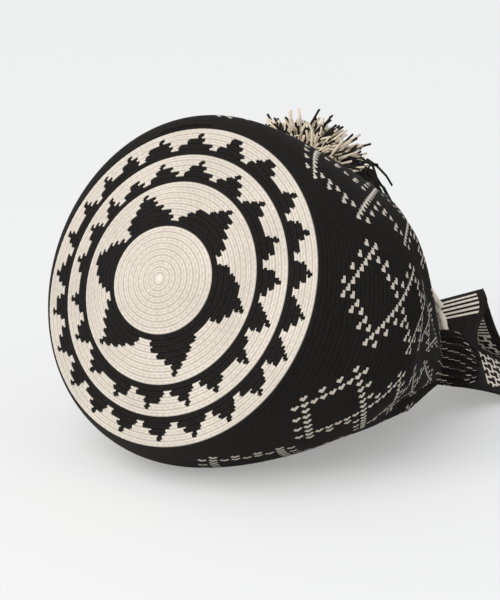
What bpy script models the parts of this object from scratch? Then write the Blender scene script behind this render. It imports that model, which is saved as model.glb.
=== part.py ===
"""Crocheted mochila shoulder bag lying on its side, stuffed, its mouth drawn shut.

Metres, +Z up. The mouth looks along +Y, the round base looks towards +X and -Y,
and the bag rests on the flattened belly of its wall at z = 0.
"""
import math

import bmesh
import bpy
from mathutils import Vector

MM = 0.001

# Bag body: crocheted in one piece from the centre of the base to the mouth
WALL_THICKNESS = 3.0 * MM
SECTORS = 64
BASE_RADIUS = 126.0 * MM
BASE_DOME = 30.0 * MM
NECK_ROW = 90
FRILL_ROWS = 7.0
FRILL_LENGTH = 34.0 * MM
FRILL_FLARE = 5.0 * MM
PLEATS = 16
PLEAT_DEPTH = 4.0 * MM
PLEAT_START_ROW = 58
PLEAT_PAST_NECK = 1.3

# The floor it lies on, and how far above it the pressed belly starts to lift off
FLOOR_LEVEL = 3.0 * MM
FLOOR_SOFTNESS = 4.0 * MM

# Rings that the wall is lofted through: row, centre, turn and pitch of the axis in degrees, radius
BASE_RING = (27, (0.0, 0.0, 150.0 * MM), -45.0, 25.5, BASE_RADIUS)
HEEL_RING = (33, (-12.0 * MM, 15.0 * MM, 141.5 * MM), -46.0, 19.5, 135.0 * MM)
BELLY_RING = (46, (-27.6 * MM, 82.7 * MM, 118.5 * MM), -35.0, 16.0, 127.5 * MM)
SHOULDER_RING = (66, (-54.8 * MM, 170.8 * MM, 94.5 * MM), -9.5, 12.0, 92.0 * MM)
NECK_RING = (NECK_ROW, (-73.5 * MM, 234.0 * MM, 63.0 * MM), 0.0, 0.0, 27.0 * MM)

# Where the whole layout is moved so that the origin is at the middle of its footprint
ORIGIN = Vector((-34.7 * MM, 223.3 * MM, FLOOR_LEVEL))

# Shoulder strap: a woven band, sewn to the mouth at both ends and folded up on the floor
STRAP_WIDTH = 62.0 * MM
STRAP_PINCH = 42.0 * MM
STRAP_THICKNESS = 2.4 * MM
STRAP_LIE = 2.0 * MM
STRAP_LAYER = 5.0 * MM
STRAP_RUN_X = -128.0 * MM
STRAP_FOLD_NEAR = 392.0 * MM
STRAP_FOLD_FAR = 540.0 * MM
STRAP_STEP = 9.0 * MM

# Drawstring round the neck, its two free ends and their pompoms
STRING_DIAMETER = 6.0 * MM
STRING_SEAT = 2.6 * MM
STRING_STEP = 3.6 * MM
LOOP_POINTS = 32
TOUCH_GAP = 0.3 * MM
POMPOM_RADIUS = 43.0 * MM
BRISTLE_SHARE = 0.05
TIE_WIDTH = 24.0 * MM
POMPOM_ON_BAG = Vector((-153.0, 138.0, 210.0)) * MM
POMPOM_ON_FLOOR = Vector((-192.0, 125.0, 46.5)) * MM
LEAVE_ANGLES = (138.0, 150.0)
END_ON_BAG = (
    (-106.1, 229.2, 101.2),
    (-111.6, 221.4, 114.8),
    (-115.5, 212.4, 129.2),
    (-118.0, 201.7, 143.5),
    (-120.0, 188.5, 156.4),
    (-120.6, 172.6, 168.3),
)
END_ON_FLOOR = (
    (-112.7, 228.2, 92.6),
    (-122.5, 218.9, 99.9),
    (-133.2, 206.8, 102.0),
    (-141.5, 194.4, 95.3),
    (-145.2, 183.8, 84.3),
    (-144.7, 171.7, 68.7),
)


def axes(turn, pitch):
    """Axis, sideways and upward directions of a ring."""
    turn, pitch = math.radians(turn), math.radians(pitch)
    axis = Vector((math.sin(turn) * math.cos(pitch), math.cos(turn) * math.cos(pitch), -math.sin(pitch)))
    side = axis.cross(Vector((0, 0, 1))).normalized()
    return axis, side, side.cross(axis)


def natural_spline(knots, values):
    """Smooth curve through vectors at the knots, with no bend at either end."""
    count = len(knots)
    second = [values[0] * 0.0 for _ in knots]
    steps = [knots[i + 1] - knots[i] for i in range(count - 1)]
    diagonal = [0.0] * count
    right = [values[0] * 0.0 for _ in knots]
    for i in range(1, count - 1):
        diagonal[i] = 2 * (steps[i - 1] + steps[i])
        right[i] = 6 * ((values[i + 1] - values[i]) / steps[i] - (values[i] - values[i - 1]) / steps[i - 1])
        if i > 1:
            share = steps[i - 1] / diagonal[i - 1]
            diagonal[i] -= share * steps[i - 1]
            right[i] = right[i] - right[i - 1] * share
    for i in range(count - 2, 0, -1):
        second[i] = (right[i] - second[i + 1] * steps[i]) / diagonal[i]

    def at(knot):
        i = min(max(sum(1 for k in knots if k <= knot) - 1, 0), count - 2)
        h = steps[i]
        a = (knots[i + 1] - knot) / h
        b = (knot - knots[i]) / h
        bend = second[i] * (a ** 3 - a) + second[i + 1] * (b ** 3 - b)
        return values[i] * a + values[i + 1] * b + bend * (h * h / 6)

    return at


def ring_curves():
    """Centre, sideways and upward reach of the wall's ring at any row."""
    rings = (BASE_RING, HEEL_RING, BELLY_RING, SHOULDER_RING, NECK_RING)
    knots = [ring[0] for ring in rings]
    centres = [Vector(ring[1]) for ring in rings]
    sides = [axes(ring[2], ring[3])[1] * ring[4] for ring in rings]
    ups = [axes(ring[2], ring[3])[2] * ring[4] for ring in rings]
    return natural_spline(knots, centres), natural_spline(knots, sides), natural_spline(knots, ups)


CENTRE, SIDE, UP = ring_curves()


def on_floor(point, inset=0.0):
    """Press a point of the belly flat where it would reach below the floor."""
    height = point.z - inset - FLOOR_LEVEL
    if height < FLOOR_SOFTNESS:
        height = max(height + FLOOR_SOFTNESS, 0.0) ** 2 / (4 * FLOOR_SOFTNESS)
    point.z = FLOOR_LEVEL + inset + height
    return point


def pleat(row, angle):
    """How far the gathers stand in or out at a row, as they deepen towards the neck."""
    share = min(max((row - PLEAT_START_ROW) / (NECK_ROW - PLEAT_START_ROW), 0.0), PLEAT_PAST_NECK)
    return PLEAT_DEPTH * share * math.cos(PLEATS * angle)


def wall_point(row, angle, inset=0.0):
    """Point of the wall at a crochet row, or inset from it, past the neck in the frill."""
    centre, side, up = CENTRE(min(row, NECK_ROW)), SIDE(min(row, NECK_ROW)), UP(min(row, NECK_ROW))
    grow = pleat(row, angle) - inset
    if row > NECK_ROW:
        past = (row - NECK_ROW) / FRILL_ROWS
        axis = axes(NECK_RING[2], NECK_RING[3])[0]
        centre = centre + axis * FRILL_LENGTH * past
        grow += FRILL_FLARE * math.sin(past * math.pi / 2)
    radius = side.length
    factor = (radius + grow) / radius
    point = centre + side * math.cos(angle) * factor + up * math.sin(angle) * factor
    return on_floor(point, inset)


def base_point(share, angle, inset=0.0):
    """Point of the domed base, share 0 at its centre and 1 at its outer ring."""
    axis, side, up = axes(BASE_RING[2], BASE_RING[3])
    radius = (BASE_RADIUS - inset) * share
    dome = BASE_DOME * (1 - share * share)
    flat = side * math.cos(angle) + up * math.sin(angle)
    return Vector(BASE_RING[1]) + flat * radius - axis * (dome - inset)


def loft(bm, rings, sectors):
    """Skin a list of ring functions, each giving a point for an angle; returns the end rings."""
    angles = [2 * math.pi * i / sectors for i in range(sectors)]
    current = bmesh.ops.create_circle(bm, segments=sectors, radius=1.0)["verts"]
    first = list(current)
    for vertex, angle in zip(current, angles):
        vertex.co = rings[0](angle)
    for ring in rings[1:]:
        edges = [bm.edges.get((current[i], current[i - 1])) for i in range(sectors)]
        made = bmesh.ops.extrude_edge_only(bm, edges=edges)["geom"]
        fresh = {item for item in made if isinstance(item, bmesh.types.BMVert)}
        upper = []
        for vertex, angle in zip(current, angles):
            partner = next(e.other_vert(vertex) for e in vertex.link_edges if e.other_vert(vertex) in fresh)
            partner.co = ring(angle)
            upper.append(partner)
        current = upper
    return first, current


def cap(bm, ring, centre):
    """Close a ring with a fan of faces round a centre point."""
    face = bm.faces.new(ring)
    middle = bmesh.ops.poke(bm, faces=[face])["verts"][0]
    middle.co = centre


def fabric(name, colour, roughness):
    """Principled material of one yarn colour."""
    material = bpy.data.materials.new(name)
    material.use_nodes = True
    shader = material.node_tree.nodes["Principled BSDF"]
    shader.inputs["Base Color"].default_value = (*colour, 1.0)
    shader.inputs["Roughness"].default_value = roughness
    shader.inputs["Metallic"].default_value = 0.0
    return material


def add_mesh(name, bm, material):
    """Turn a bmesh into a smooth-shaded object at the layout's place."""
    bmesh.ops.recalc_face_normals(bm, faces=bm.faces)
    mesh = bpy.data.meshes.new(name)
    bm.to_mesh(mesh)
    bm.free()
    mesh.shade_smooth()
    mesh.set_sharp_from_angle(angle=math.radians(50))
    item = bpy.data.objects.new(name, mesh)
    item.location = -ORIGIN
    item.data.materials.append(material)
    bpy.context.collection.objects.link(item)
    return item


def build_body():
    """One crocheted shell: domed base, belly, gathered shoulder, neck and open frill."""
    bm = bmesh.new()
    base_shares = (0.12, 0.3, 0.48, 0.64, 0.78, 0.9)
    outer_rows = [27, 28, 29.5, 31.5, 34, 37, 40, 43, 46, 49, 52, 55, 58, 61, 64, 67, 70, 72.5, 75]
    outer_rows += [77.5, 80, 82, 84, 86, 88, 90, 92, 94, 96, NECK_ROW + FRILL_ROWS]
    outer = [lambda a, s=share: base_point(s, a) for share in base_shares]
    outer += [lambda a, r=row: wall_point(r, a) for row in outer_rows]
    inner_rows = [NECK_ROW + FRILL_ROWS, 94, 90, 86, 82, 78, 74, 70, 65, 60, 55, 50, 45, 40, 35, 31]
    inner = [lambda a, r=row: wall_point(r, a, WALL_THICKNESS) for row in inner_rows]
    inner += [lambda a, s=share: base_point(s, a, WALL_THICKNESS) for share in (0.97, 0.78, 0.5, 0.2)]
    first, last = loft(bm, outer + inner, SECTORS)
    cap(bm, first, base_point(0.0, 0.0))
    cap(bm, last, base_point(0.0, 0.0, WALL_THICKNESS))
    return add_mesh("bag_body", bm, fabric("crochet_black", (0.02, 0.018, 0.018), 0.95))


def smooth_route(points, step):
    """Points a step apart on a smooth curve through the route's own points."""
    route = [Vector(point) for point in points]
    knots = [0.0]
    for before, after in zip(route, route[1:]):
        knots.append(knots[-1] + (after - before).length)
    curve = natural_spline(knots, route)
    count = max(2, round(knots[-1] / step))
    return [curve(knots[-1] * i / count) for i in range(count + 1)]


def add_cord(name, points, diameter, material, closed=False):
    """A round cord along a list of points."""
    data = bpy.data.curves.new(name, "CURVE")
    data.dimensions = "3D"
    data.bevel_depth = diameter / 2
    data.bevel_resolution = 2
    data.use_fill_caps = not closed
    spline = data.splines.new("POLY")
    spline.points.add(len(points) - 1)
    spline.use_cyclic_u = closed
    for slot, point in zip(spline.points, points):
        slot.co = (*point, 1.0)
    item = bpy.data.objects.new(name, data)
    item.location = -ORIGIN
    data.materials.append(material)
    bpy.context.collection.objects.link(item)
    return item


def strap_stations():
    """Centre, width direction and width along the strap, from one seam to the other."""
    lie = FLOOR_LEVEL + STRAP_LIE
    across = (1.0, 0.0, 0.0)
    neck = Vector(NECK_RING[1])
    reach = NECK_RING[4] + PLEAT_DEPTH + STRING_DIAMETER + 4 * TOUCH_GAP + STRAP_THICKNESS / 2
    route = [
        ((-118.0, 250.5, 80.0), (0.16, 0.96, 0.24), STRAP_WIDTH),
        ((-125.5, 250.0, 88.5), (0.3, 0.9, 0.32), STRAP_WIDTH),
        ((-134.0, 252.0, 87.0), (0.35, 0.88, 0.32), STRAP_WIDTH),
        ((-139.0, 258.0, 77.0), (0.4, 0.86, 0.25), STRAP_WIDTH),
        ((-142.0, 272.0, 58.0), (0.55, 0.8, 0.0), STRAP_WIDTH),
        ((-141.0, 294.0, 40.0), (0.78, 0.55, -0.25), STRAP_WIDTH),
        ((-136.0, 322.0, 27.0), (0.95, 0.25, -0.12), STRAP_WIDTH),
        ((-131.0, 356.0, 21.0), across, STRAP_WIDTH),
    ]
    stations = [
        (neck + Vector((-reach, 17.0 * MM, -10.0 * MM)), Vector((0.0, 1.0, 0.0)), STRAP_PINCH),
        (neck + Vector((-reach - MM, 17.0 * MM, 3.0 * MM)), Vector((0.0, 1.0, 0.06)), STRAP_PINCH),
    ]
    stations += [(Vector(c) * MM, Vector(w).normalized(), width) for c, w, width in route]
    near, far = STRAP_FOLD_NEAR, STRAP_FOLD_FAR
    runs = ((near, far), (far, near), (near, far), (far, near - 20 * MM))
    for i, (begin, end) in enumerate(runs):
        height = lie + (3 - i) * STRAP_LAYER
        sign = 1 if end > begin else -1
        length = abs(end - begin)
        offsets = [0.0, 4 * MM, 14 * MM, length / 2, length - 14 * MM, length - 4 * MM, length]
        if i == 0:
            offsets = offsets[3:]
        for offset in offsets:
            stations.append((Vector((STRAP_RUN_X, begin + sign * offset, height)), Vector(across), STRAP_WIDTH))
        if i < 3:
            middle = Vector((STRAP_RUN_X, end + sign * STRAP_LAYER / 2, height - STRAP_LAYER / 2))
            stations.append((middle, Vector(across), STRAP_WIDTH))
    tail = [
        ((-126.0, 352.0, 5.6), (1.0, 0.0, -0.01), STRAP_WIDTH),
        ((-123.0, 334.0, 9.0), (0.99, 0.0, -0.1), STRAP_WIDTH),
        ((-116.0, 308.0, 14.0), (0.94, 0.0, -0.25), STRAP_WIDTH * 0.92),
        ((-108.0, 278.0, 27.5), (0.82, 0.0, -0.5), STRAP_WIDTH * 0.8),
    ]
    stations += [(Vector(c) * MM, Vector(w).normalized(), width) for c, w, width in tail]
    low = Vector((-0.69 * reach, 18.0 * MM, -0.72 * reach))
    stations.append((neck + low, Vector((0.72, 0.0, -0.69)), STRAP_PINCH))
    return stations


def build_strap():
    """Woven band lofted from its stations, rectangular in section."""
    stations = strap_stations()
    knots = [0.0]
    for before, after in zip(stations, stations[1:]):
        knots.append(knots[-1] + (after[0] - before[0]).length)
    centre = natural_spline(knots, [s[0] for s in stations])
    across = natural_spline(knots, [s[1] for s in stations])
    wide = natural_spline(knots, [Vector((s[2], 0, 0)) for s in stations])
    count = round(knots[-1] / STRAP_STEP)
    marks = sorted({knots[-1] * i / count for i in range(count + 1)} | set(knots[1:-1]))
    marks = [m for i, m in enumerate(marks) if i == 0 or m - marks[i - 1] > 1.2 * MM]
    bm = bmesh.new()
    rings = []
    for mark in marks:
        ahead = centre(min(mark + MM, knots[-1])) - centre(max(mark - MM, 0.0))
        width_way = across(mark).normalized()
        normal = ahead.cross(width_way).normalized()
        half = width_way * wide(mark).x / 2
        thick = normal * STRAP_THICKNESS / 2
        corners = [half + thick, thick, -half + thick, -half - thick, -thick, half - thick]
        rings.append([centre(mark) + corner for corner in corners])
    sides = len(rings[0])
    ring_functions = [lambda a, r=ring: r[round(a / (2 * math.pi) * sides) % sides] for ring in rings]
    first, last = loft(bm, ring_functions, sides)
    bm.faces.new(first)
    bm.faces.new(last)
    return add_mesh("shoulder_strap", bm, fabric("woven_strap", (0.3, 0.27, 0.23), 0.9))


def round_neck(angle, reach):
    """Point beside the gathered neck, just past the last full row."""
    centre = CENTRE(NECK_ROW) + axes(NECK_RING[2], NECK_RING[3])[0] * STRING_SEAT
    factor = (NECK_RING[4] + reach) / NECK_RING[4]
    return centre + (SIDE(NECK_ROW) * math.cos(angle) + UP(NECK_ROW) * math.sin(angle)) * factor


def build_drawstring(material):
    """The part of the drawstring that runs round the gathered neck."""
    reach = PLEAT_DEPTH + STRING_DIAMETER / 2 + 3 * TOUCH_GAP
    points = [round_neck(2 * math.pi * i / LOOP_POINTS, reach) for i in range(LOOP_POINTS)]
    add_cord("drawstring_loop", points, STRING_DIAMETER, material, closed=True)


def tie_way(route, pompom):
    """Direction from a pompom's centre to the last point of its string's route."""
    return (Vector(route[-1]) * MM - pompom).normalized()


def build_string_end(name, leave_angle, route, pompom, material):
    """A free end of the drawstring, from the loop along its route to its pompom."""
    reach = PLEAT_DEPTH + 1.5 * STRING_DIAMETER + 2 * TOUCH_GAP
    points = [round_neck(math.radians(leave_angle), reach)]
    points += [Vector(point) * MM for point in route]
    for ahead in (STRING_DIAMETER, 2 * TOUCH_GAP):
        points.append(pompom + tie_way(route, pompom) * (POMPOM_RADIUS + ahead))
    add_cord(name, smooth_route(points, STRING_STEP), STRING_DIAMETER, material)


def build_pompom(name, centre, tie, material):
    """Ball of cut yarn ends, one closed solid, bristled all round but for where it is tied."""
    bm = bmesh.new()
    bmesh.ops.create_icosphere(bm, subdivisions=4, radius=POMPOM_RADIUS)
    for index, vertex in enumerate(bm.verts):
        if (vertex.co - tie * POMPOM_RADIUS).length > TIE_WIDTH / 2:
            vertex.co *= 1.0 - BRISTLE_SHARE * (index * 7 % 5) / 4
    bmesh.ops.translate(bm, vec=centre, verts=bm.verts)
    return add_mesh(name, bm, material)


def main():
    for item in list(bpy.data.objects):
        bpy.data.objects.remove(item, do_unlink=True)
    build_body()
    build_strap()
    string_material = fabric("string_cream", (0.55, 0.47, 0.36), 0.9)
    build_drawstring(string_material)
    build_string_end("drawstring_end_1", LEAVE_ANGLES[0], END_ON_BAG, POMPOM_ON_BAG, string_material)
    build_string_end("drawstring_end_2", LEAVE_ANGLES[1], END_ON_FLOOR, POMPOM_ON_FLOOR, string_material)
    yarn = fabric("pompom_yarn", (0.3, 0.26, 0.2), 0.95)
    build_pompom("pompom_1", POMPOM_ON_BAG, tie_way(END_ON_BAG, POMPOM_ON_BAG), yarn)
    build_pompom("pompom_2", POMPOM_ON_FLOOR, tie_way(END_ON_FLOOR, POMPOM_ON_FLOOR), yarn)


main()
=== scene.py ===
"""Crocheted mochila bag lying on its side: relief crochet, woven strap, plaited string, yarn pompoms."""
import math

import bmesh
import bpy
import numpy as np
from bpy.props import FloatProperty, FloatVectorProperty, IntProperty, PointerProperty
from mathutils import Euler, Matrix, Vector


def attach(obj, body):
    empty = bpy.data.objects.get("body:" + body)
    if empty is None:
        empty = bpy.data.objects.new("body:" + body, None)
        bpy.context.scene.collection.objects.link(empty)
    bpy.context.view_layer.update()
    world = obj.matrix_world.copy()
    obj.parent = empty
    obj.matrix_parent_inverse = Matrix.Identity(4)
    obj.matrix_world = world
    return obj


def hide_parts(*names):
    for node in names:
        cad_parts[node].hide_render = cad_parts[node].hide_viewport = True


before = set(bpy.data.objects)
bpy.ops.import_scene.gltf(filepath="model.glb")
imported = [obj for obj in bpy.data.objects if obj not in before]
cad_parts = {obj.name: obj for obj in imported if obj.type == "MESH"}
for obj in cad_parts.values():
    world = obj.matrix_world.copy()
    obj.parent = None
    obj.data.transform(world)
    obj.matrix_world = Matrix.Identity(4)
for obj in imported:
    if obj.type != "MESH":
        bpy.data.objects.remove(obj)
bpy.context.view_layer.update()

bl_info = {
    "name": "Crocheted mochila bag",
    "version": (1, 0, 0),
    "blender": (4, 5, 0),
    "location": "3D View > Sidebar > Mochila",
    "description": "Builds the crochet, strap, drawstring and pompoms of a mochila bag on its packed frame",
    "category": "Add Mesh",
}

MM = 0.001
ORIGIN = np.array((-34.7, 223.3, 3.0)) * MM

# Body rows count from the centre of the base: the base, the wall, then the frill past the neck
BASE_ROWS = 27
NECK_ROW = 90
FRILL_ROWS = 7
WALL_THICKNESS = 3.0 * MM
BASE_RADIUS = 126.0 * MM
BASE_DOME = 24.0 * MM
DOME_POWER = 1.5
# Rows on either side of the base's edge in which the fabric is drawn in
EDGE_ROWS = 3
# The hand-made disc is wider sideways, up to this share of the base's radius
DISC_WIDENING = 0.09
DISC_WIDENING_END = 0.62
# Frill past the neck, then the pleats at the neck and the wider folds below it
FRILL_LENGTH = 36.0 * MM
FRILL_FLARE = 3.5 * MM
FRILL_CURL = 14.0 * MM
FRILL_DROOP = 9.0 * MM
PLEATS = 16
PLEAT_DEPTH = 1.8 * MM
FOLDS = 9
FOLD_DEPTH = 3.0 * MM
PLEAT_START_ROW = 58
FOLD_START_ROW = 50
PLEAT_PAST_NECK = 1.3
FOLD_UNEVEN = 2.0
FOLD_TURN = 0.04
# The fabric is pulled straight along the lower flank, between these rows and round this angle
FLANK_TUCK = 13.0 * MM
TUCK_ROWS = (27, 76)
TUCK_EASE = 0.8
TUCK_AT = math.radians(-58.0)
TUCK_FOCUS = 6
# The floor presses the belly flat, with a bend this far above and below it
FLOOR_SOFTNESS = 4.0 * MM
# Middle of the solid's neck, in mm, which the strap and the string are placed from
NECK = np.array((-73.5, 234.0, 63.0))
# The body's rings: row, centre in mm, turn and pitch in degrees, radius in mm
RINGS = (
    (27, (0.0, 0.0, 150.0), -45.0, 25.5, 126.0),
    (33, (-12.0, 13.5, 141.5), -46.0, 19.5, 137.5),
    (46, (-27.6, 82.7, 118.5), -35.0, 16.0, 127.5),
    (66, (-54.8, 168.8, 94.5), -9.5, 12.0, 91.0),
    (90, (-73.5, 226.0, 55.0), 0.0, 0.0, 20.5),
)
# Rows of the inner skins, from the open edge inwards, and the looks of their fabric: its cream share and an
# even painted groove shade
BASE_INNER_ROWS = (26.6, 22.0, 15.0, 8.0, 0.0)
WALL_INNER_ROWS = (NECK_ROW + FRILL_ROWS, 94, 90, 86, 80, 74, 68, 60, 52, 44, 36, 30, 27.4)
INNER_CREAM = 0.4
INNER_GROOVE_SHADE = 0.5
# A row's two ribs and the bumps of its stitches; then the painted shade of its grooves from quarter to
# quarter, and of the grooves between stitches
RIB_PARTING = 0.65
STITCH_BUMP = 0.24
ROW_GROOVE_SHADE = (1.0, 0.12, 0.62, 0.12)
STITCH_GROOVE_SHADE = 0.22

# Where the star's six tips stand on the hand-made base, and where a perfect star would have them
STAR_TIPS = (-64.5, -4.5, 55.5, 124.5, 173.5, 232.8, 296.5, 355.5, 415.5)
EVEN_TIPS = tuple(60.0 * tip - 64.5 for tip in range(9))
DISC_ROWS = 9
BLACK_RINGS = (9, 17, 22)
CREAM_RINGS = (16, 21)
# Star and teeth: first row, how many, angle of one, how far each row turns it, cream share of each row
BANDS = (
    (10, 6, 25.5, 0.7, (0.1, 0.27, 0.45, 0.64, 0.8, 0.93)),
    (18, 19, 1.5, 0.0, (1 / 6, 3 / 6, 5 / 6)),
    (23, 23, 6.5, 0.0, (1 / 6, 3 / 6, 5 / 6)),
)
# How far each quarter of a row leans, and how much of a black stitch its rounded corners take, in stitches
STITCH_LEAN = (0.0, 0.08, 0.16, 0.24)
CORNER = 0.2

# The wall's lattice, with the stitches beside its lines as step and offset, and the streaks at the mouth
WALL_TURN = math.radians(12.0)
LATTICE_START = 33
LATTICE_END = 82
LATTICE_ROWS = 12
LATTICE_STITCHES = 18
BARBS = ((1, 3), (3, 5), (9, 5), (11, 3), (5, 7), (7, 7))
STREAK_START = 86
STREAK_END = 96
STREAK_EVERY = 9
STREAK_CURVE = 0.25
STREAK_POWER = 1.8

# Strap: its thickness, and in mm its width, and its width at the seams
STRAP_THICKNESS = 2.4 * MM
STRAP_WIDTH = 62.0
STRAP_SEAM_WIDTH = 40.0
# Its layers on the floor: how far apart, how high the lowest is, where they lie and turn, how near
# a turn they are held flat, and how much longer the last one is
STRAP_LAYER = 5.0
STRAP_LIE = 5.0
STRAP_RUN_X = -128.0
STRAP_FOLDS = (392.0, 540.0)
STRAP_EASE = (4.0, 14.0)
STRAP_LAST_RUN = 20.0
# Its stretches in the air: centre and direction of the width, and for the tail the width too
STRAP_START = (
    ((-118.0, 250.5, 80.0), (0.16, 0.96, 0.24)),
    ((-125.5, 250.0, 88.5), (0.3, 0.9, 0.32)),
    ((-134.0, 252.0, 87.0), (0.35, 0.88, 0.32)),
    ((-141.0, 257.0, 76.0), (0.35, 0.9, 0.25)),
    ((-149.0, 267.0, 55.0), (0.42, 0.88, 0.12)),
    ((-156.0, 284.0, 34.0), (0.62, 0.75, 0.06)),
    ((-151.0, 312.0, 23.5), (0.9, 0.4, 0.08)),
    ((-136.0, 350.0, 21.0), (1.0, 0.05, 0.0)),
)
STRAP_TAIL = (
    ((-126.0, 352.0, 5.6), (1.0, 0.0, -0.01), STRAP_WIDTH),
    ((-123.0, 334.0, 9.5), (0.99, 0.0, -0.1), STRAP_WIDTH),
    ((-116.0, 308.0, 16.0), (0.94, 0.0, -0.25), 57.0),
    ((-108.0, 278.0, 30.0), (0.82, 0.0, -0.5), 49.6),
)
# Its ends at the seams and a point just off the upper one, from the neck, and the way the lower one lies
STRAP_SEWN_ON = (-27.5, 17.0, -11.0)
STRAP_OFF_SEAM = (-36.4, 17.0, 3.0)
STRAP_SEWN_UNDER = (-20.5, 16.0, -23.5)
STRAP_UNDER_WAY = (0.72, 0.0, -0.69)
# Its weave, in picks: plain up to the bars, then wedges and stepped outlines in turn; edges in threads
BARS = (15, 27)
WEDGE_PICKS = 34
WEDGE_START = 5
WEDGE_GROWTH = 0.9
REPEAT_PICKS = 56
PLAIN_EDGE = 3
OUTLINE_THREADS = 8

# Drawstring and pompoms, in mm as the frame's source has them
STRING_DIAMETER = 6.0 * MM
STRING_SEAT = 2.6
# The loop runs inside the gathers and is pulled out where its two ends leave, as angles and mm
LOOP_INSIDE = 14.5
LOOP_OUTSIDE = 40.0
PULLED_OUT_AT = 135.5
PULLED_OUT_HALF = 18.0
LOOP_POINTS = 161
LEAVE_RADIUS = 40.6
LEAVE_ANGLES = (138.0, 150.0)
POMPOM_RADIUS = 43.0
POMPOM_ON_BAG = np.array((-153.0, 138.0, 210.0))
POMPOM_ON_FLOOR = np.array((-192.0, 125.0, 46.5))
# The ball on the bag has slumped forward from where its solid stands, and a tuft droops from it
SLUMP = np.array((0.0, -17.0, -7.0))
DROOPING = 44
DROOP_ROOT = (-141.0, 165.0, 205.0)
DROOP_TIP = (-126.0, 181.0, 182.0)
DROOP_SAG = (0.0, 9.0, 7.0)
DROOP_VARY = (0.2, 1.6)
DROOP_SCATTER = (5.0, 3.0, 6.5)
# Cut strands: the ball's spread, their reach and start as shares of its radius, their bend as a share
# of the reach, and how far their tips and bends stray, in mm
BALL_SPREAD = (1.0, 1.4, 1.0)
STRAND_REACH = (0.66, 0.96)
STRAND_SEGMENTS = 3
STRAND_START = 0.2
STRAND_BEND = 0.6
TIP_STRAY = 12.0
BEND_STRAY = 9.0
# Where it is cream: on the pale side of each ball, in bunches given as ways and phases, and by chance
PALE_WAYS = ((0.2, 0.3, 0.9), (0.5, -0.6, 0.3))
BUNCHES = (((7.1, 3.3, 2.7), 0.6), ((-3.2, 6.6, 5.9), 2.0))
BUNCH_SHARE = 0.7
CHANCE_SHARE = 0.9
CREAM_FROM = 0.5
WARM_CREAM = (0.98, 0.92, 0.82)
# Where the bag's skin is looked up near the ball, and how far the strands keep off it and the floor
SKIN_ROWS = np.linspace(33, 84, 35)
SKIN_ANGLES = np.linspace(0.0, 2 * np.pi, 73)
NEAR_BALL = 0.11
OFF_THE_SKIN = 2.0 * MM
OFF_THE_FLOOR = 1.5 * MM
# Routes of the string's two free ends
END_ON_BAG = (
    (-106.1, 229.2, 101.2),
    (-111.6, 221.4, 114.8),
    (-115.5, 212.4, 129.2),
    (-118.0, 201.7, 143.5),
    (-120.0, 188.5, 156.4),
    (-120.6, 172.6, 168.3),
)
END_ON_FLOOR = (
    (-112.7, 228.2, 92.6),
    (-122.5, 218.9, 99.9),
    (-133.2, 206.8, 102.0),
    (-141.5, 194.4, 95.3),
    (-145.2, 183.8, 84.3),
    (-144.7, 171.7, 68.7),
)

# Photo's camera, measured from the frame's own origin
EYE = np.array((1335.5, -144.4, 548.5)) * MM - ORIGIN
EYE_TURN = 81.44
EYE_DOWN = 17.0

# Yarn: shares of its colour in the darkest and palest tufts, how much the painted groove shade dims it, and
# its wear
BLACK_TUFTS = (0.5, 1.9)
BLACK_GROOVE_SHADE = 0.816
CREAM_GROOVE_SHADE = 0.48
WORN = (0.92, 1.04)
FIBRE_HEIGHT = 0.6 * MM

# Studio: where the lights come from, and how the floor and the room look to the camera
KEY_FROM = (0.4, -0.5, 0.76)
KEY_SPREAD = 55.0
FILL_PLACE = (1.2, -1.3, 1.2)
FILL_FROM = (1.2, -1.2, 1.1)
FILL_SIZE = 1.4
FLOOR_GLOW = (0.93, 0.93, 0.92, 1.0)
FLOOR_GLOW_SHARE = 0.34
ROOM_LIGHT = (0.95, 0.97, 1.0, 1.0)
ROOM_STRENGTH = 0.6
ROOM_SEEN = (0.84, 0.84, 0.84, 1.0)


def placed(point):
    """A point given in mm, in the frame's own metres."""
    return np.array(point, float) * MM - ORIGIN


def natural_spline(knots, values):
    """Smooth curve through points at the knots, with no bend at either end."""
    count = len(knots)
    values = [np.array(value, float) for value in values]
    second = [values[0] * 0.0 for _ in knots]
    steps = [knots[i + 1] - knots[i] for i in range(count - 1)]
    diagonal = [0.0] * count
    right = [values[0] * 0.0 for _ in knots]
    for i in range(1, count - 1):
        diagonal[i] = 2 * (steps[i - 1] + steps[i])
        ahead = (values[i + 1] - values[i]) / steps[i]
        behind = (values[i] - values[i - 1]) / steps[i - 1]
        right[i] = 6 * (ahead - behind)
        if i > 1:
            share = steps[i - 1] / diagonal[i - 1]
            diagonal[i] -= share * steps[i - 1]
            right[i] = right[i] - right[i - 1] * share
    for i in range(count - 2, 0, -1):
        second[i] = (right[i] - second[i + 1] * steps[i]) / diagonal[i]

    def at(knot):
        i = min(max(sum(1 for k in knots if k <= knot) - 1, 0), count - 2)
        h = steps[i]
        a = (knots[i + 1] - knot) / h
        b = (knot - knots[i]) / h
        bend = second[i] * (a ** 3 - a) + second[i + 1] * (b ** 3 - b)
        return values[i] * a + values[i + 1] * b + bend * (h * h / 6)

    return at


def axes(turn, pitch):
    """Axis, sideways and upward directions of a ring."""
    turn, pitch = math.radians(turn), math.radians(pitch)
    level = math.cos(pitch)
    axis = np.array((math.sin(turn) * level, math.cos(turn) * level, -math.sin(pitch)))
    side = np.cross(axis, (0, 0, 1))
    side /= np.linalg.norm(side)
    return axis, side, np.cross(side, axis)


def lengths(points):
    """Distance along a line of points, at each of them."""
    steps = np.linalg.norm(np.diff(np.array(points, float), axis=0), axis=1)
    return np.concatenate(([0.0], np.cumsum(steps)))


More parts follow.
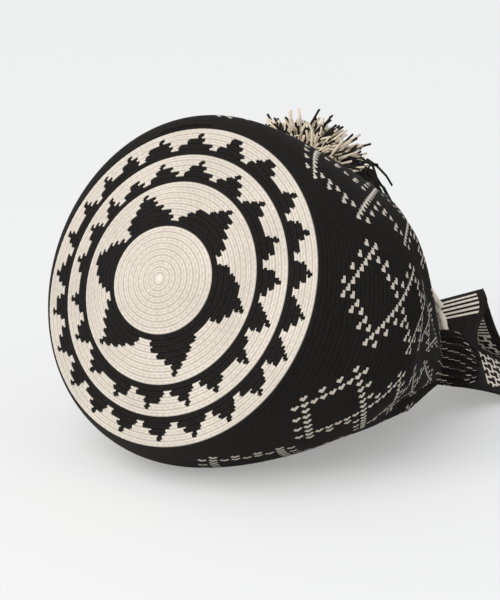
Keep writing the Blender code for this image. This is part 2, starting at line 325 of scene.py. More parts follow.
ROW_KNOTS = [ring[0] for ring in RINGS]
CENTRE = natural_spline(ROW_KNOTS, [placed(ring[1]) for ring in RINGS])
SIDE = natural_spline(ROW_KNOTS, [axes(ring[2], ring[3])[1] * ring[4] * MM for ring in RINGS])
UP = natural_spline(ROW_KNOTS, [axes(ring[2], ring[3])[2] * ring[4] * MM for ring in RINGS])
AXIS = natural_spline(ROW_KNOTS, [axes(ring[2], ring[3])[0] for ring in RINGS])


class MochilaCrochet(bpy.types.PropertyGroup):
    """Sizes and colours of the crochet"""

    black: FloatVectorProperty(
        name="Black yarn", description="Colour of the black yarn", subtype="COLOR",
        default=(0.0155, 0.0131, 0.0118), min=0, max=1)
    cream: FloatVectorProperty(
        name="Cream yarn", description="Colour of the cream yarn", subtype="COLOR",
        default=(0.8, 0.72, 0.615), min=0, max=1)
    relief: FloatProperty(
        name="Relief", description="How far a stitch stands out of the fabric",
        default=1.0 * MM, min=0, unit="LENGTH")
    edge_round: FloatProperty(
        name="Edge rounding", description="How far the edge of the base is drawn in",
        default=0.8 * MM, min=0, unit="LENGTH")
    wall_stitches: IntProperty(
        name="Wall stitches", description="Stitches in one row of the wall", default=162, min=18)
    base_columns: IntProperty(
        name="Base columns", description="Mesh columns round the base", default=576, min=48)
    stitches_per_row: FloatProperty(
        name="Increase", description="Stitches that each row of the base adds", default=5.33, min=1)
    lean: FloatProperty(
        name="Lean", description="Stitches by which each row of the wall leans over the last",
        default=-0.12)


class MochilaStrap(bpy.types.PropertyGroup):
    """Sizes of the woven strap"""

    threads: IntProperty(
        name="Threads", description="Warp ribs across the strap", default=26, min=8)
    pick: FloatProperty(
        name="Pick", description="Length of one woven cell along the strap",
        default=1.65 * MM, min=0.0005, unit="LENGTH")
    relief: FloatProperty(
        name="Relief", description="How far a rib stands out of the strap",
        default=0.25 * MM, min=0, unit="LENGTH")


class MochilaString(bpy.types.PropertyGroup):
    """Sizes of the plaited string"""

    sides: IntProperty(name="Sides", description="Mesh sides of the string", default=18, min=6)
    step: FloatProperty(
        name="Step", description="Mesh step along the string", default=0.9 * MM, min=0.0003,
        unit="LENGTH")
    lay: FloatProperty(
        name="Lay", description="Length of one turn of the plait", default=22.0 * MM, min=0.005,
        unit="LENGTH")
    groove: FloatProperty(
        name="Groove", description="Depth of the grooves between its strands",
        default=0.55 * MM, min=0, unit="LENGTH")


class MochilaPompom(bpy.types.PropertyGroup):
    """Sizes of the pompoms"""

    doublings: IntProperty(
        name="Doublings", description="The ball has two to this power strands", default=11,
        min=4, max=13)
    yarn: FloatProperty(
        name="Yarn", description="Diameter of one cut strand", default=2.5 * MM, min=0.0003,
        unit="LENGTH")
    seed: IntProperty(name="Seed", description="Seed of the strands' directions", default=7)


class MochilaStudio(bpy.types.PropertyGroup):
    """Floor, lights and camera"""

    floor: FloatVectorProperty(
        name="Floor", description="Colour of floor and backdrop", subtype="COLOR",
        default=(0.8, 0.8, 0.79), min=0, max=1)
    key: FloatProperty(name="Key light", description="Strength of the soft key light", default=1.85)
    fill: FloatProperty(name="Fill light", description="Power of the fill light in watts", default=8.0)
    lens: FloatProperty(name="Lens", description="Focal length in millimetres", default=109.2)


def finish_mesh(name, bm, material, slot_name=None, *nodes):
    """Object of a bmesh, smooth shaded; with a slot's name it rides in place of its frame nodes."""
    for face in bm.faces:
        face.smooth = True
    mesh = bpy.data.meshes.new(name)
    bm.to_mesh(mesh)
    bm.free()
    mesh.materials.append(material)
    item = bpy.data.objects.new(name, mesh)
    bpy.context.collection.objects.link(item)
    if slot_name:
        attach(item, "root")
        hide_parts(*nodes)
    return item


def skin(rings, cream, groove=None):
    """Closed skin over rings of points; faces keep their cell's cream share, points their painted groove
    shade.
    """
    rings = np.array(rings)
    count, columns = rings.shape[:2]
    bm = bmesh.new()
    bmesh.ops.create_grid(bm, x_segments=columns, y_segments=count - 1, size=0.5)
    if len(bm.verts) != count * (columns + 1):
        raise RuntimeError("the grid has another number of points than its rings")
    points = np.concatenate((rings, rings[:, :1]), axis=1).reshape(-1, 3)
    for vertex, point in zip(bm.verts, points):
        vertex.co = point
    # The groove layer holds painted shade: how much the yarn material darkens each point's colour in the
    # grooves
    depth = bm.verts.layers.float.new("groove")
    if groove is not None:
        groove = np.array(groove)
        deep = np.concatenate((groove, groove[:, :1]), axis=1).reshape(-1)
        for vertex, value in zip(bm.verts, deep):
            vertex[depth] = value
    layer = bm.faces.layers.float.new("cream")
    for face, value in zip(bm.faces, np.asarray(cream, float).reshape(-1)):
        face[layer] = value
    bmesh.ops.remove_doubles(bm, verts=bm.verts, dist=1e-6)
    bmesh.ops.recalc_face_normals(bm, faces=bm.faces)
    return bm


def feed(tree, socket, value):
    """Sets an input to a value, or links it where a socket is given."""
    if isinstance(value, bpy.types.NodeSocket):
        tree.links.new(value, socket)
    else:
        socket.default_value = value


def node(tree, kind, **inputs):
    """A shader node with its inputs fed by name."""
    made = tree.nodes.new(kind)
    for name, value in inputs.items():
        feed(tree, made.inputs[name.replace("_", " ")], value)
    return made


def mixed(tree, share, first, second):
    """Colour between a first and a second one."""
    made = tree.nodes.new("ShaderNodeMix")
    made.data_type = "RGBA"
    for place, value in ((0, share), (6, first), (7, second)):
        feed(tree, made.inputs[place], value)
    return made.outputs[2]


def dimmed(tree, colour, factor):
    """A colour times a factor."""
    made = tree.nodes.new("ShaderNodeVectorMath")
    made.operation = "SCALE"
    tree.links.new(colour, made.inputs[0])
    tree.links.new(factor, made.inputs["Scale"])
    return made.outputs["Vector"]


def joined(tree, operation, first, second):
    """Two values joined by a math operation."""
    made = tree.nodes.new("ShaderNodeMath")
    made.operation = operation
    feed(tree, made.inputs[0], first)
    feed(tree, made.inputs[1], second)
    return made.outputs[0]


def shown(tree, output_name, share, first, second):
    """Links a mix of two shaders to the tree's output."""
    mix = tree.nodes.new("ShaderNodeMixShader")
    for socket, value in zip(mix.inputs, (share, first, second)):
        tree.links.new(value, socket)
    tree.links.new(mix.outputs[0], tree.nodes[output_name].inputs["Surface"])


def attribute(tree, name):
    """Value of a mesh attribute."""
    made = tree.nodes.new("ShaderNodeAttribute")
    made.attribute_name = name
    return made.outputs["Fac"]


def noise(tree, scale, detail, roughness=0.5):
    """Noise on the object's own coordinates."""
    where = tree.nodes.new("ShaderNodeTexCoord").outputs["Object"]
    made = node(
        tree, "ShaderNodeTexNoise", Vector=where, Scale=scale, Detail=detail, Roughness=roughness)
    return made.outputs["Fac"]


def yarn_material(name, black, cream, fibre_scale, bump, variation=0.16):
    """Cotton yarn in two colours: the mesh's cream share picks one, fibres and lint break it up, and the
    mesh's groove attribute darkens it as painted shade.
    """
    material = bpy.data.materials.new(name)
    material.use_nodes = True
    tree = material.node_tree
    tufts = noise(tree, 260.0, 3.0, 0.6)
    groove = attribute(tree, "groove")

    def yarn(base, dark, pale, depth):
        ends = [(*[min(1.0, value * share) for value in base], 1.0) for share in (dark, pale)]
        # Painted groove shade: the colour is darkened by up to the given depth where the groove attribute
        # is full
        shade = node(tree, "ShaderNodeMapRange", Value=groove, To_Min=1.0, To_Max=1.0 - depth)
        return dimmed(tree, mixed(tree, tufts, *ends), shade.outputs["Result"])

    colour = mixed(
        tree, attribute(tree, "cream"), yarn(black, *BLACK_TUFTS, BLACK_GROOVE_SHADE),
        yarn(cream, 1.0 - variation, 1.0 + variation, CREAM_GROOVE_SHADE))
    worn = node(
        tree, "ShaderNodeMapRange", Value=noise(tree, 18.0, 2.0), From_Min=0.3, From_Max=0.7,
        To_Min=WORN[0], To_Max=WORN[1])
    fibres = noise(tree, fibre_scale, 2.0, 0.7)
    rise = node(tree, "ShaderNodeBump", Strength=bump, Distance=FIBRE_HEIGHT, Height=fibres)
    shader = tree.nodes["Principled BSDF"]
    tree.links.new(dimmed(tree, colour, worn.outputs["Result"]), shader.inputs["Base Color"])
    tree.links.new(rise.outputs["Normal"], shader.inputs["Normal"])
    shader.inputs["Roughness"].default_value = 0.92
    shader.inputs["Specular IOR Level"].default_value = 0.12
    shader.inputs["Sheen Weight"].default_value = 0.025
    shader.inputs["Sheen Roughness"].default_value = 0.5
    return material


def press(points, inset=0.0):
    """The belly pressed flat where it would reach below the floor."""
    height = points[:, 2] - inset
    pressed = np.maximum(height + FLOOR_SOFTNESS, 0.0) ** 2 / (4 * FLOOR_SOFTNESS)
    points[:, 2] = inset + np.where(height < FLOOR_SOFTNESS, pressed, height)
    return points


def edge_draw(row, settings):
    """How far the fabric is drawn in near the edge of the base."""
    return settings.edge_round * max(0.0, 1 - abs(row - BASE_ROWS) / EDGE_ROWS) ** 2


def ramp(row, first, last, most=1.0):
    """Share of the way from a first row to a last one, from 0 up to the most it may be."""
    return min(max((row - first) / (last - first), 0.0), most)


def wall_folds(row, angles):
    """How far pleats and folds push a ring of the wall out, less what the flank's tuck draws in."""
    pleats = PLEAT_DEPTH * ramp(row, PLEAT_START_ROW, NECK_ROW, PLEAT_PAST_NECK) * np.cos(PLEATS * angles)
    deep = FOLD_DEPTH * math.sin(math.pi * ramp(row, FOLD_START_ROW, NECK_ROW))
    folds = deep * np.cos(FOLDS * angles + FOLD_UNEVEN * np.sin(angles) + FOLD_TURN * row)
    tuck = FLANK_TUCK * math.sin(math.pi * ramp(row, *TUCK_ROWS)) ** TUCK_EASE
    return pleats + folds - tuck * np.maximum(np.cos(angles - TUCK_AT), 0.0) ** TUCK_FOCUS


def wall_ring(row, angles, lift, settings, inset=0.0):
    """Points round the wall at a row, lifted off the plain fabric or inset from it."""
    at = min(row, NECK_ROW)
    side, up = SIDE(at), UP(at)
    draw = edge_draw(row, settings)
    centre = CENTRE(at) + AXIS(at) * draw
    grow = wall_folds(row, angles) + lift - inset - draw
    if row > NECK_ROW:
        past = (row - NECK_ROW) / FRILL_ROWS
        centre = centre + AXIS(NECK_ROW) * FRILL_LENGTH * past
        centre = centre - np.array((0.0, 0.0, FRILL_DROOP)) * past ** 2
        grow = grow + FRILL_FLARE * math.sin(past * math.pi / 2) - FRILL_CURL * past ** 3
    radius = np.linalg.norm(side)
    factor = (radius + grow) / radius
    points = centre + np.outer(np.cos(angles) * factor, side) + np.outer(np.sin(angles) * factor, up)
    return press(points, inset)


def base_ring(row, angles, lift, settings, inset=0.0):
    """Points of the domed base at a row."""
    axis, side, up = axes(RINGS[0][2], RINGS[0][3])
    share = row / BASE_ROWS
    draw = edge_draw(row, settings)
    wide = DISC_WIDENING * math.sin(math.pi * min(share / DISC_WIDENING_END, 1.0)) * np.cos(angles) ** 2
    radius = ((BASE_RADIUS - inset) * share - draw) * (1 + wide)[:, None]
    dome = BASE_DOME * max(1 - share * share, 0.0) ** DOME_POWER - inset - draw + lift
    flat = np.outer(np.cos(angles), side) + np.outer(np.sin(angles), up)
    return placed(RINGS[0][1]) + flat * radius - np.outer(dome, axis)


def stitch_lift(along, across, relief):
    """Relief of a row: two ribs, each a chain of staggered bumps."""
    rib = (1 - RIB_PARTING) * math.sin(math.pi * along)
    rib += RIB_PARTING * abs(math.sin(2 * math.pi * along))
    shift = 0.0 if along < 0.5 else 0.5
    return relief * rib * (1 - STITCH_BUMP + STITCH_BUMP * np.cos(2 * np.pi * (across - shift)))


def stitch_groove_shade(along, across):
    """Painted shade of a point, by how deep in a groove it is: between rows, between the ribs of a row,
    between stitches.
    """
    rows = ROW_GROOVE_SHADE[round(along * 4) % 4]
    shift = 0.0 if along < 0.5 else 0.5
    between = 0.5 - 0.5 * np.cos(2 * np.pi * (across - shift))
    return np.clip(rows + STITCH_GROOVE_SHADE * between, 0.0, 1.0)


def star_cream(row, cells, stitches):
    """Which stitches of a base row are cream: disc, six-pointed star, two rings of teeth."""
    if row < DISC_ROWS or row in CREAM_RINGS or row >= BASE_ROWS - 1:
        return np.ones(len(cells))
    if row in BLACK_RINGS:
        return np.zeros(len(cells))
    first, count, middle, turn, shares = next(band for band in reversed(BANDS) if row >= band[0])
    above = row - first
    middle = middle + turn * (len(shares) - 1 - above)
    half = 180 / count
    even = np.interp((cells + 0.5) * 360 / stitches % 360, STAR_TIPS, EVEN_TIPS)
    off = np.abs((even - middle + half) % (2 * half) - half) / half
    return (off < shares[above]).astype(float)


def base_cream(row, quarter, angles, stitches):
    """Cream share of a quarter row of the base; the black stitches have rounded corners."""
    place = angles / (2 * np.pi) * stitches + STITCH_LEAN[quarter]
    cells = np.floor(place)
    cream = star_cream(row, cells, stitches)
    if quarter in (0, 3):
        part = place - cells
        before, after = [star_cream(row, cells + beside, stitches) for beside in (-1, 1)]
        cream = np.where(part < CORNER, np.maximum(cream, before), cream)
        cream = np.where(part > 1 - CORNER, np.maximum(cream, after), cream)
    return cream


def wall_cream(row, stitch):
    """Which stitches of a wall row are cream: a lattice of stepped diamonds, streaks at the mouth."""
    half = LATTICE_STITCHES // 2
    off = np.abs((stitch + half) % LATTICE_STITCHES - half)
    if row == LATTICE_START - 1:
        return (off == 1).astype(float)
    if STREAK_START <= row < STREAK_END:
        curve = round(STREAK_CURVE * (row - STREAK_START) ** STREAK_POWER)
        return ((stitch - curve) % STREAK_EVERY == 0).astype(float)
    if not LATTICE_START <= row <= LATTICE_END:
        return np.zeros(len(stitch))
    step = (row - LATTICE_START) % LATTICE_ROWS
    cream = off == min(step, LATTICE_ROWS - step)
    for barb_step, barb in BARBS:
        if step == barb_step:
            cream = cream | (off == barb)
    return cream.astype(float)


class MOCHILA_OT_crochet(bpy.types.Operator):
    """Crochet the base and the wall with every row and stitch in relief"""

    bl_idname = "mochila.crochet"
    bl_label = "Crochet body"

    def execute(self, context):
        settings = context.scene.mochila_crochet
        material = yarn_material("crochet_yarn", settings.black, settings.cream, 1500.0, 0.5)
        self.make_base(settings, material)
        self.make_wall(settings, material)
        return {"FINISHED"}

    def make_base(self, settings, material):
        columns = settings.base_columns
        angles = np.arange(columns) * 2 * np.pi / columns
        middles = angles + np.pi / columns
        rings, cream, groove = [], [], []
        for quarter in range(4 * BASE_ROWS + 1):
            row, along = quarter / 4, (quarter % 4) / 4
            stitches = max(6, round(settings.stitches_per_row * (math.floor(row) + 1)))
            across = angles / (2 * np.pi) * stitches
            fade = min(1.0, row)
            lift = stitch_lift(along, across, settings.relief) * fade
            rings.append(base_ring(row, angles, lift, settings))
            cream.append(base_cream(math.floor(row), quarter % 4, middles, stitches))
            # Painted groove shade of each point, fading in towards the centre
            groove.append(stitch_groove_shade(along, across) * fade)
        # Inner skin: a mixed cream share and an even painted groove shade
        for row in BASE_INNER_ROWS:
            rings.append(base_ring(row, angles, np.zeros(columns), settings, WALL_THICKNESS))
            cream.append(np.full(columns, INNER_CREAM))
            groove.append(np.full(columns, INNER_GROOVE_SHADE))
        bm = skin(rings, cream[:-1], groove)
        finish_mesh("crochet_base", bm, material, "crochet", "bag_body")

    def make_wall(self, settings, material):
        count = settings.wall_stitches
        halves = np.arange(2 * count)
        across = halves / 2 + 0.25
        pitch = 2 * np.pi / count

        def turned(row):
            return WALL_TURN - (halves / 2 + settings.lean * (row - LATTICE_START)) * pitch

        rings, cream, groove = [], [], []
        for quarter in range(4 * (NECK_ROW + FRILL_ROWS - BASE_ROWS) + 1):
            row, along = BASE_ROWS + quarter / 4, (quarter % 4) / 4
            lift = stitch_lift(along, across, settings.relief)
            rings.append(wall_ring(row, turned(row), lift, settings))
            slanted = np.ones(2 * count)
            if row > STREAK_START or quarter % 4 == 0:
                slanted = halves % 2
            elif quarter % 4 == 3:
                slanted = np.zeros(2 * count)
            cream.append(wall_cream(math.floor(row), halves // 2) * slanted)
            # Painted groove shade of each point
            groove.append(stitch_groove_shade(along, across))
        # Inner skin: black, with an even painted groove shade
        for row in WALL_INNER_ROWS:
            rings.append(wall_ring(row, turned(row), np.zeros(2 * count), settings, WALL_THICKNESS))
            cream.append(np.zeros(2 * count))
            groove.append(np.full(2 * count, INNER_GROOVE_SHADE))
        rings.append(rings[0])
        groove.append(groove[0])
        bm = skin(rings, cream, groove)
        finish_mesh("crochet_wall", bm, material, "crochet", "bag_body")


def strap_stations():
    """Centre, direction of the width and width along the strap, from one seam to the other."""
    across = (1.0, 0.0, 0.0)
    stations = [
        (NECK + STRAP_SEWN_ON, (0.0, 1.0, 0.0), STRAP_SEAM_WIDTH),
        (NECK + STRAP_OFF_SEAM, (0.0, 1.0, 0.06), STRAP_SEAM_WIDTH + 2),
    ]
    stations += [(*station, STRAP_WIDTH) for station in STRAP_START]
    near, far = STRAP_FOLDS
    soft, flat = STRAP_EASE
    runs = ((near, far), (far, near), (near, far), (far, near - STRAP_LAST_RUN))
    for i, (begin, end) in enumerate(runs):
        height = STRAP_LIE + (3 - i) * STRAP_LAYER
        sign = 1 if end > begin else -1
        length = abs(end - begin)
        offsets = (0.0, soft, flat, length / 2, length - flat, length - soft, length)
        for offset in offsets[3:] if i == 0 else offsets:
            stations.append(((STRAP_RUN_X, begin + sign * offset, height), across, STRAP_WIDTH))
        if i < 3:
            bend = (STRAP_RUN_X, end + sign * STRAP_LAYER / 2, height - STRAP_LAYER / 2)
            stations.append((bend, across, STRAP_WIDTH))
    stations += STRAP_TAIL
    stations.append((NECK + STRAP_SEWN_UNDER, STRAP_UNDER_WAY, STRAP_SEAM_WIDTH))
    return stations


def strap_cream(pick, thread, threads):
    """Which cells of the weave are cream: bars that widen into a wedge, then stepped outlines."""
    across = thread - (threads - 1) / 2
    edge = threads / 2 - PLAIN_EDGE
    if abs(across) > edge:
        return 0.0
    first, last = BARS
    if pick < last:
        return float(pick > first and pick % 2)
    turn = (pick - last) % REPEAT_PICKS
    if turn < WEDGE_PICKS:
        return float(turn % 2 and edge - across < WEDGE_START + turn * WEDGE_GROWTH)
    brick, line = divmod(turn - WEDGE_PICKS, 3)
    place = (thread + OUTLINE_THREADS // 2 * (brick % 2)) % OUTLINE_THREADS
    return float(place in (0, 5) if line else place < 6)


class MOCHILA_OT_strap(bpy.types.Operator):
    """Weave the shoulder strap, sewn to the mouth at both ends and folded up on the floor"""

    bl_idname = "mochila.strap"
    bl_label = "Woven strap"

    def execute(self, context):
        settings = context.scene.mochila_strap
        colours = context.scene.mochila_crochet
        material = yarn_material("strap_yarn", colours.black, colours.cream, 1700.0, 0.45)
        stations = strap_stations()
        centres = [placed(station[0]) for station in stations]
        ways = [np.array(station[1]) / np.linalg.norm(station[1]) for station in stations]
        knots = list(lengths(centres))
        centre = natural_spline(knots, centres)
        across = natural_spline(knots, ways)
        wide = natural_spline(knots, [np.array((station[2] * MM,)) for station in stations])
        threads = settings.threads
        picks = round(knots[-1] / settings.pick)
        edge_marks = np.linspace(0.5, -0.5, threads + 1)
        flat = np.concatenate((edge_marks, edge_marks[::-1]))
        face = np.concatenate((np.ones(threads + 1), -np.ones(threads + 1)))
        rings, middles, cream = [], [], []
        for pick in range(picks + 1):
            mark = knots[-1] * pick / picks
            ahead = centre(min(mark + MM, knots[-1])) - centre(max(mark - MM, 0.0))
            way = across(mark) / np.linalg.norm(across(mark))
            normal = np.cross(ahead, way)
            normal /= np.linalg.norm(normal)
            rib = settings.relief * (0.5 + 0.5 * np.cos(np.pi * (np.arange(threads + 1) + pick)))
            thick = face * (STRAP_THICKNESS / 2 - settings.relief + np.concatenate((rib, rib[::-1])))
            middle = centre(mark) + np.outer(flat * wide(mark)[0], way)
            middles.append(middle)
            rings.append(middle + np.outer(thick, normal))
            tops = [strap_cream(pick, thread, threads) for thread in range(threads)]
            cream.append(np.array(tops + [0.0] + tops[::-1] + [0.0]))
        rings = [middles[0], *rings, middles[-1]]
        bm = skin(rings, [cream[0], *cream])
        strap = finish_mesh("woven_shoulder_strap", bm, material, "woven_strap", "shoulder_strap")
        return {"FINISHED"}


def tube(points, radius, settings, closed=False):
    """Plaited tube round a line of points, its ends closed to a tip, or joined in a loop."""
    knots = list(lengths(points))
    line = natural_spline(knots, points)
    count = max(8, round(knots[-1] / settings.step))
    marks = [knots[-1] * i / count for i in range(count + 1)]
    spots = [line(mark) for mark in marks]
    ahead = [line(min(m + MM / 2, knots[-1])) - line(max(m - MM / 2, 0.0)) for m in marks]
    if closed:
        spots[-1] = spots[0]
        ahead[0] = ahead[-1] = ahead[0] + ahead[-1]
    around = np.arange(settings.sides) * 2 * np.pi / settings.sides
    out = np.cross(ahead[0], (0.0, 0.3, 1.0))
    turns = max(1, round(knots[-1] / settings.lay))
    rings = []
    for spot, way, mark in zip(spots, ahead, marks):
        way = way / np.linalg.norm(way)
        if closed:
            out = np.cross(way, (0.0, 1.0, 0.0))
        out = out - way * (out @ way)
        out /= np.linalg.norm(out)
        turned = mark / knots[-1] * turns * 2 * np.pi
        plait = np.abs(np.sin(1.5 * (around + turned))) * np.abs(np.cos(1.5 * (around - turned)))
        reach = radius - settings.groove * (1 - plait) * 0.8
        other = np.cross(way, out)
        ring = spot + np.outer(np.cos(around) * reach, out) + np.outer(np.sin(around) * reach, other)
        rings.append(ring)
    if not closed:
        rings.insert(0, np.repeat([spots[0]], settings.sides, axis=0))
        rings.append(np.repeat([spots[-1]], settings.sides, axis=0))
    cream = np.ones((len(rings) - 1, settings.sides))
    return skin(rings, cream), np.array(spots), float(knots[-1])


def end_route(angle, route, pompom):
    """Route of a free end, from the loop to its pompom."""
    _, side, up = axes(0.0, 0.0)
    angle = math.radians(angle)
    out = side * math.cos(angle) + up * math.sin(angle)
    start = NECK + (0.0, STRING_SEAT, 0.0) + out * LEAVE_RADIUS
    away = np.array(route[-1]) - pompom
    away /= np.linalg.norm(away)
    points = [start, *route]
    points += [pompom + away * (POMPOM_RADIUS + ahead) for ahead in (6.0, 0.6)]
    return [placed(point) for point in points]


class MOCHILA_OT_string(bpy.types.Operator):
    """Plait the drawstring: the loop round the neck and its two free ends"""

    bl_idname = "mochila.string"
    bl_label = "Drawstring"

    def execute(self, context):
        settings = context.scene.mochila_string
        colours = context.scene.mochila_crochet
        material = yarn_material("string_yarn", colours.black, colours.cream, 1500.0, 0.5)
        centre = np.array((NECK[0], NECK[1] + STRING_SEAT, RINGS[-1][1][2]))
        loop = []
        for angle in np.linspace(0.0, 360.0, LOOP_POINTS):
            off = min(abs(angle - PULLED_OUT_AT) / PULLED_OUT_HALF, 1.0)
            out = math.cos(math.pi / 2 * off) ** 2
            reach = LOOP_INSIDE + (LOOP_OUTSIDE - LOOP_INSIDE) * out
            turn = math.radians(angle)
            loop.append(placed(centre + reach * np.array((math.cos(turn), 0.0, math.sin(turn)))))
        bm = tube(loop, STRING_DIAMETER / 2, settings, closed=True)[0]
        finish_mesh("plaited_loop", bm, material, "drawstring", "drawstring_loop")
        routes, balls = (END_ON_BAG, END_ON_FLOOR), (POMPOM_ON_BAG, POMPOM_ON_FLOOR)
        ends = zip(LEAVE_ANGLES, routes, balls)
        for i, (angle, route, pompom) in enumerate(ends, 1):
            bm, line, length = tube(end_route(angle, route, pompom), STRING_DIAMETER / 2, settings)
            end = finish_mesh(f"plaited_end_{i}", bm, material, "drawstring", f"drawstring_end_{i}")
        return {"FINISHED"}


def strands(count_power, starts, bends, tips, radius, cream):
    """Two to a power of thin tapered strands, each from its start by its bend to its tip."""
    bm = bmesh.new()
    bmesh.ops.create_grid(bm, x_segments=4, y_segments=STRAND_SEGMENTS + 2, size=0.5)
    for _ in range(count_power):
        bmesh.ops.duplicate(bm, geom=bm.verts[:] + bm.edges[:] + bm.faces[:])
    count = 2 ** count_power
    shares = np.array((0.0, *np.linspace(0.0, 1.0, STRAND_SEGMENTS + 1), 1.0))
    girth = np.array((0.0, *np.linspace(1.0, 0.8, STRAND_SEGMENTS + 1), 0.0)) * radius
    t = shares[None, :, None]
    line = starts[:, None] * (1 - t) ** 2 + 2 * bends[:, None] * t * (1 - t) + tips[:, None] * t * t
    way = tips - starts
    way /= np.linalg.norm(way, axis=1)[:, None]
    out = np.cross(way, np.where(np.abs(way[:, 2:]) < 0.8, (0.0, 0.0, 1.0), (1.0, 0.0, 0.0)))
    out /= np.linalg.norm(out, axis=1)[:, None]
    other = np.cross(way, out)
    around = np.arange(5)[None, None, :, None] * np.pi / 2
    spread = np.cos(around) * out[:, None, None] + np.sin(around) * other[:, None, None]
    points = line[:, :, None] + spread * girth[None, :, None, None]
    points = points.reshape(-1, 3)
    if len(points) != len(bm.verts):
        raise RuntimeError("the strands have another number of points than planned")
    for vertex, point in zip(bm.verts, points):
        vertex.co = point
    layer = bm.faces.layers.float.new("cream")
    each = len(bm.faces) // count
    for i, face in enumerate(bm.faces):
        face[layer] = cream[i // each]
    bmesh.ops.remove_doubles(bm, verts=bm.verts, dist=2e-6)
    bmesh.ops.recalc_face_normals(bm, faces=bm.faces)
    return bm


class MOCHILA_OT_pompoms(bpy.types.Operator):
    """Make both pompoms of cut cream and black yarn"""

    bl_idname = "mochila.pompoms"
    bl_label = "Pompoms"

    def execute(self, context):
        settings = context.scene.mochila_pompom
        colours = context.scene.mochila_crochet
        warm = [value * share for value, share in zip(colours.cream, WARM_CREAM)]
        material = yarn_material("pompom_yarn", colours.black, warm, 1900.0, 0.4, 0.3)
        centres = (POMPOM_ON_BAG + SLUMP, POMPOM_ON_FLOOR)
        for i, (centre, pale_way) in enumerate(zip(centres, PALE_WAYS), 1):
            self.make_pompom(i, placed(centre), pale_way, settings, material)
        return {"FINISHED"}

    def make_pompom(self, number, centre, pale_way, settings, material):
        random = np.random.default_rng(settings.seed + number)
        count = 2 ** settings.doublings
        ways = random.normal(size=(count, 3))
        ways /= np.linalg.norm(ways, axis=1)[:, None]
        reach = POMPOM_RADIUS * MM * random.uniform(*STRAND_REACH, size=(count, 1))
        stray = random.uniform(-TIP_STRAY, TIP_STRAY, size=(count, 3)) * MM
        tips = centre + ways * BALL_SPREAD * reach + stray
        starts = centre + ways * POMPOM_RADIUS * STRAND_START * MM
        stray = random.normal(size=(count, 3)) * BEND_STRAY * MM
        bends = centre + ways * reach * STRAND_BEND + stray
        bunch = sum(np.sin(ways @ way + phase) for way, phase in BUNCHES)
        pale = bunch * BUNCH_SHARE + ways @ pale_way + random.normal(size=count) * CHANCE_SHARE
        cream = (pale > CREAM_FROM).astype(float)
        if number == 1:
            self.droop(random, *[points[-DROOPING:] for points in (starts, bends, tips)])
            cream[-DROOPING:] = 0.0
            for points in (starts, bends, tips):
                self.keep_off(points, centre)
        for points in (bends, tips):
            points[:, 2] = np.maximum(points[:, 2], OFF_THE_FLOOR)
        bm = strands(settings.doublings, starts, bends, tips, settings.yarn / 2, cream)
        finish_mesh(f"yarn_pompom_{number}", bm, material, "pompom_yarn", f"pompom_{number}")

    def droop(self, random, starts, bends, tips):
        """Makes these strands a tuft that droops in front of the ball."""
        size = starts.shape
        at_start, at_bend, at_tip = DROOP_SCATTER
        starts[:] = placed(DROOP_ROOT) + random.normal(size=size) * at_start * MM
        tips[:] = placed(DROOP_TIP) + random.normal(size=size) * at_tip * MM
        bends[:] = (starts + tips) / 2 + random.normal(size=size) * at_bend * MM
        bends += np.array(DROOP_SAG) * random.uniform(*DROOP_VARY, size=(len(starts), 1)) * MM

    def keep_off(self, points, centre):
        """Moves points that would be below the bag's skin out to just above it."""
        crochet = bpy.context.scene.mochila_crochet
        rings = np.array([wall_ring(row, SKIN_ANGLES, 0.0, crochet) for row in SKIN_ROWS])
        middles = np.array([CENTRE(row) for row in SKIN_ROWS])
        near = np.linalg.norm(rings - centre, axis=2) < NEAR_BALL
        skin_points = rings[near]
        out = (rings - middles[:, None])[near]
        out /= np.linalg.norm(out, axis=1)[:, None]
        for i, point in enumerate(points):
            closest = np.argmin(((skin_points - point) ** 2).sum(axis=1))
            depth = (point - skin_points[closest]) @ out[closest] - OFF_THE_SKIN
            if depth < 0:
                points[i] = point - out[closest] * depth


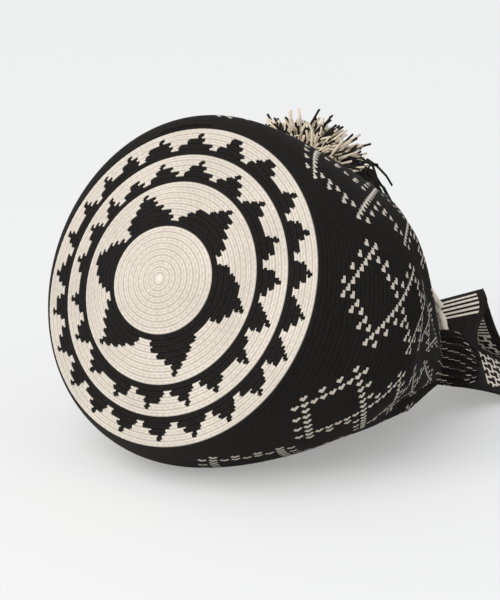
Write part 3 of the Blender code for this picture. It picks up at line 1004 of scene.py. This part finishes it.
class MOCHILA_OT_studio(bpy.types.Operator):
    """Lay the pale floor, the soft lights and the photo's camera"""

    bl_idname = "mochila.studio"
    bl_label = "Studio"

    def execute(self, context):
        settings = context.scene.mochila_studio
        self.make_camera(context, settings)
        self.make_floor(settings)
        self.make_lights(context, settings)
        return {"FINISHED"}

    def make_camera(self, context, settings):
        data = bpy.data.cameras.new("photo_camera")
        data.lens = settings.lens
        data.clip_start = 0.05
        camera = bpy.data.objects.new("photo_camera", data)
        camera.location = EYE
        camera.rotation_euler = Euler((math.radians(90 - EYE_DOWN), 0.0, math.radians(EYE_TURN)))
        context.collection.objects.link(camera)
        context.scene.camera = camera

    def make_floor(self, settings):
        bm = bmesh.new()
        bmesh.ops.create_grid(bm, x_segments=2, y_segments=2, size=40.0)
        material = bpy.data.materials.new("pale_floor")
        material.use_nodes = True
        tree = material.node_tree
        shader = tree.nodes["Principled BSDF"]
        shader.inputs["Roughness"].default_value = 0.85
        shader.inputs["Specular IOR Level"].default_value = 0.1
        dull = (*[value * 0.985 for value in settings.floor], 1.0)
        tint = mixed(tree, noise(tree, 2.0, 2.0), dull, (*settings.floor, 1.0))
        tree.links.new(tint, shader.inputs["Base Color"])
        seen = tree.nodes.new("ShaderNodeLightPath").outputs["Is Camera Ray"]
        share = joined(tree, "MULTIPLY", seen, FLOOR_GLOW_SHARE)
        glow = node(tree, "ShaderNodeEmission", Color=FLOOR_GLOW, Strength=1.0)
        shown(tree, "Material Output", share, shader.outputs[0], glow.outputs[0])
        finish_mesh("studio_floor", bm, material)

    def make_light(self, context, name, kind, power, shines_from, place=(0.0, 0.0, 0.0)):
        data = bpy.data.lights.new(name, kind)
        data.energy = power
        light = bpy.data.objects.new(name, data)
        light.location = place
        light.rotation_euler = Vector(shines_from).to_track_quat("Z", "Y").to_euler()
        context.collection.objects.link(light)
        return data

    def make_lights(self, context, settings):
        key = self.make_light(context, "key_light", "SUN", settings.key, KEY_FROM)
        key.angle = math.radians(KEY_SPREAD)
        fill = self.make_light(context, "fill_light", "AREA", settings.fill, FILL_FROM, FILL_PLACE)
        fill.size = FILL_SIZE
        world = bpy.data.worlds.new("pale_room")
        context.scene.world = world
        world.use_nodes = True
        tree = world.node_tree
        soft = tree.nodes["Background"]
        soft.inputs["Color"].default_value = ROOM_LIGHT
        soft.inputs["Strength"].default_value = ROOM_STRENGTH
        seen = node(tree, "ShaderNodeBackground", Color=ROOM_SEEN, Strength=1.0)
        path = tree.nodes.new("ShaderNodeLightPath").outputs
        first = joined(tree, "MAXIMUM", path["Is Camera Ray"], path["Is Glossy Ray"])
        shown(tree, "World Output", first, soft.outputs[0], seen.outputs[0])
        context.scene.view_settings.view_transform = "Standard"


class MOCHILA_PT_panel(bpy.types.Panel):
    """Settings and steps of the bag"""

    bl_idname = "MOCHILA_PT_panel"
    bl_label = "Mochila bag"
    bl_space_type = "VIEW_3D"
    bl_region_type = "UI"
    bl_category = "Mochila"

    def draw(self, context):
        for group, operator in (
            ("mochila_studio", "mochila.studio"),
            ("mochila_pompom", "mochila.pompoms"),
            ("mochila_string", "mochila.string"),
            ("mochila_crochet", "mochila.crochet"),
            ("mochila_strap", "mochila.strap"),
        ):
            box = self.layout.box()
            settings = getattr(context.scene, group)
            for name in settings.__annotations__:
                box.prop(settings, name)
            box.operator(operator)


GROUPS = {
    "mochila_crochet": MochilaCrochet,
    "mochila_strap": MochilaStrap,
    "mochila_string": MochilaString,
    "mochila_pompom": MochilaPompom,
    "mochila_studio": MochilaStudio,
}
OPERATORS = (
    MOCHILA_OT_studio,
    MOCHILA_OT_pompoms,
    MOCHILA_OT_string,
    MOCHILA_OT_crochet,
    MOCHILA_OT_strap,
)


def register():
    for name, group in GROUPS.items():
        bpy.utils.register_class(group)
        setattr(bpy.types.Scene, name, PointerProperty(type=group))
    for made in (*OPERATORS, MOCHILA_PT_panel):
        bpy.utils.register_class(made)


def unregister():
    for made in (MOCHILA_PT_panel, *reversed(OPERATORS)):
        bpy.utils.unregister_class(made)
    for name, group in GROUPS.items():
        delattr(bpy.types.Scene, name)
        bpy.utils.unregister_class(group)


def main():
    register()
    bpy.ops.mochila.studio()
    bpy.ops.mochila.pompoms()
    bpy.ops.mochila.string()
    bpy.ops.mochila.crochet()
    bpy.ops.mochila.strap()


if __name__ == "__main__":
    main()
